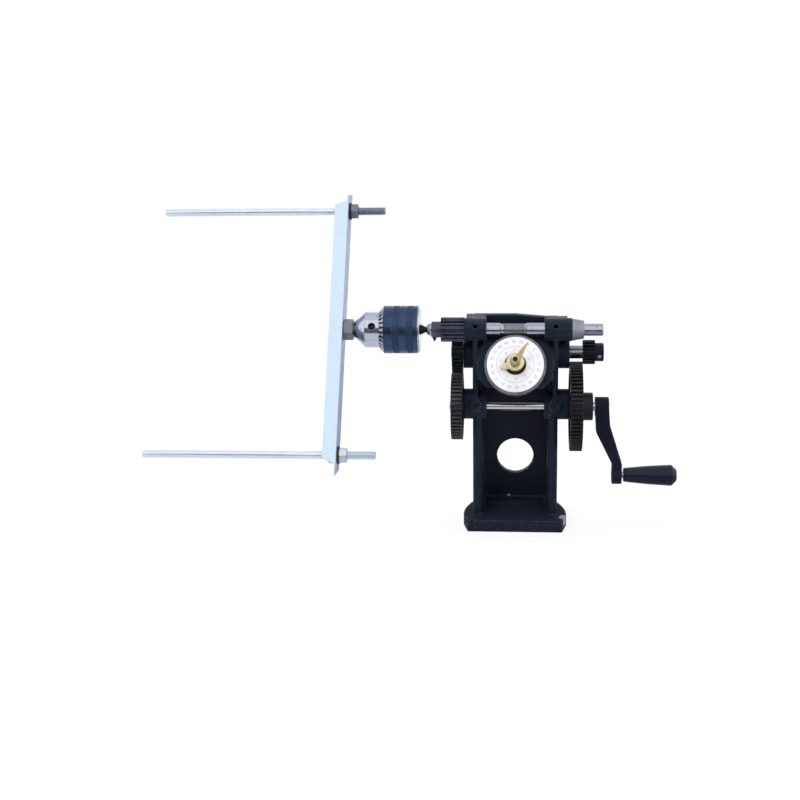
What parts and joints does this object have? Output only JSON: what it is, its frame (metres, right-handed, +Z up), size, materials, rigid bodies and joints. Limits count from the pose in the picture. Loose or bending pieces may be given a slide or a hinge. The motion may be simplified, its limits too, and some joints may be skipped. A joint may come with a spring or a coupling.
{
  "type": "tassel making machine",
  "caption": "Hand-cranked tassel winder: a geared cast stand with a turn counter whose spindle drives a keyed chuck holding an angle bar with long winding rods.",
  "frame": {"origin": "on the table under the spindle axis, midway between the side plates", "axes": "+X along the spindle from the chuck to the crank side, +Y to the back, +Z up"},
  "size_m": [0.482, 0.1835, 0.2972],
  "materials": {
    "black_paint": "satin black enamel with small chips",
    "arm_paint": "satin black enamel",
    "grip_black": "gloss black",
    "gear_steel": "dark oiled steel",
    "wheel_steel": "satin",
    "bright_steel": "ground",
    "collar_steel": "turned, matt",
    "dark_screw": "black oxide",
    "bronze": "turned",
    "brass": "polished, slightly dulled",
    "dial_enamel": "white enamel with fine print",
    "dark_ring": "matt",
    "chuck_chrome": "polished",
    "chuck_blue": "blued",
    "jaw_steel": "hardened, dark",
    "zinc_bar": "galvanised",
    "zinc_rod": "bright zinc",
    "zinc_nut": "dull zinc",
    "dark_washer": "dark"
  },
  "bodies": {
    "stand": {"cast_frame": "black_paint", "spindle_bushes": "bronze", "lay_bushes": "bronze", "crank_bushes": "bronze", "bush_lock_screws": "black_paint", "counter_post": "bright_steel", "long_pointer": "brass", "pointer_nut": "brass"},
    "crank": {"crank_shaft": "bright_steel", "left_drive_gear": "gear_steel", "drive_key": "bright_steel", "right_drive_gear": "gear_steel", "gear_set_screw": "dark_screw", "crank_arm": "arm_paint", "arm_set_screw": "dark_screw", "handle_pin": "bright_steel"},
    "handle": {"handle_grip": "grip_black"},
    "shifter": {"shift_fork": "bright_steel"},
    "lay": {"lay_shaft": "bright_steel", "lay_gear": "gear_steel", "lay_key": "bright_steel", "lay_pinion": "gear_steel", "lay_set_screw": "bright_steel"},
    "spindle_line": {"spindle": "bright_steel", "spindle_pinion": "gear_steel", "pinion_set_screw": "dark_screw", "end_collar": "collar_steel", "collar_set_screw": "dark_screw", "chuck_arbor": "dark_screw", "chuck_body": "chuck_chrome", "frame_bolt": "zinc_nut", "frame_nut": "zinc_nut", "cross_bar": "zinc_bar", "upper_rod": "zinc_rod", "lower_rod": "zinc_rod", "rod_nuts": "zinc_nut", "rod_washers": "dark_washer"},
    "chuck_ring": {"chuck_sleeve": "chuck_blue", "chuck_nut": "bright_steel"},
    "jaw_a": {"jaw_1": "jaw_steel"},
    "jaw_b": {"jaw_2": "jaw_steel"},
    "jaw_c": {"jaw_3": "jaw_steel"},
    "dial": {"dial_wheel": "wheel_steel", "dial_plate": "dial_enamel", "dial_ring": "dark_ring"},
    "turns": {"turns_wheel": "wheel_steel", "short_pointer": "brass"}
  },
  "joints": [
    {"name": "crank_spin", "type": "hinge", "parent": "stand", "child": "crank", "pos_m": [0, 0, 0.11075], "axis": [1, 0, 0], "continuous": true},
    {"name": "handle_spin", "type": "hinge", "parent": "crank", "child": "handle", "pos_m": [0.12, 0, 0.04475], "axis": [1, 0, 0], "continuous": true},
    {"name": "spindle_spin", "type": "hinge", "parent": "stand", "child": "spindle_line", "pos_m": [0, 0, 0.183], "axis": [1, 0, 0], "continuous": true},
    {"name": "chuck_turn", "type": "hinge", "parent": "spindle_line", "child": "chuck_ring", "pos_m": [-0.105, 0, 0.183], "axis": [-1, 0, 0], "range_deg": [0, 1091.7]},
    {"name": "jaw_a_slide", "type": "slide", "parent": "spindle_line", "child": "jaw_a", "axis": [0.9744, 0, 0.225], "range_m": [0, 0.00667]},
    {"name": "jaw_b_slide", "type": "slide", "parent": "spindle_line", "child": "jaw_b", "axis": [0.9744, -0.1948, -0.1125], "range_m": [0, 0.00667]},
    {"name": "jaw_c_slide", "type": "slide", "parent": "spindle_line", "child": "jaw_c", "axis": [0.9744, 0.1948, -0.1125], "range_m": [0, 0.00667]},
    {"name": "lay_shift", "type": "slide", "parent": "stand", "child": "shifter", "axis": [1, 0, 0], "range_m": [-0.01175, 0]},
    {"name": "lay_spin", "type": "hinge", "parent": "shifter", "child": "lay", "pos_m": [0, 0.0165, 0.15795], "axis": [1, 0, 0], "continuous": true},
    {"name": "dial_spin", "type": "hinge", "parent": "stand", "child": "dial", "pos_m": [0, -0.01624, 0.1537], "axis": [0, -0.8746, 0.4848], "continuous": true},
    {"name": "turns_spin", "type": "hinge", "parent": "stand", "child": "turns", "pos_m": [0, -0.01624, 0.1537], "axis": [0, -0.8746, 0.4848], "continuous": true}
  ],
  "couplings": [
    {"joint": "spindle_spin", "follows": "crank_spin", "ratio": 3},
    {"joint": "lay_spin", "follows": "crank_spin", "ratio": -1.5},
    {"joint": "dial_spin", "follows": "crank_spin", "ratio": 0.03},
    {"joint": "turns_spin", "follows": "crank_spin", "ratio": 0.028846},
    {"joint": "jaw_a_slide", "follows": "chuck_turn", "m_per_rad": 0.00035},
    {"joint": "jaw_b_slide", "follows": "chuck_turn", "m_per_rad": 0.00035},
    {"joint": "jaw_c_slide", "follows": "chuck_turn", "m_per_rad": 0.00035}
  ]
}
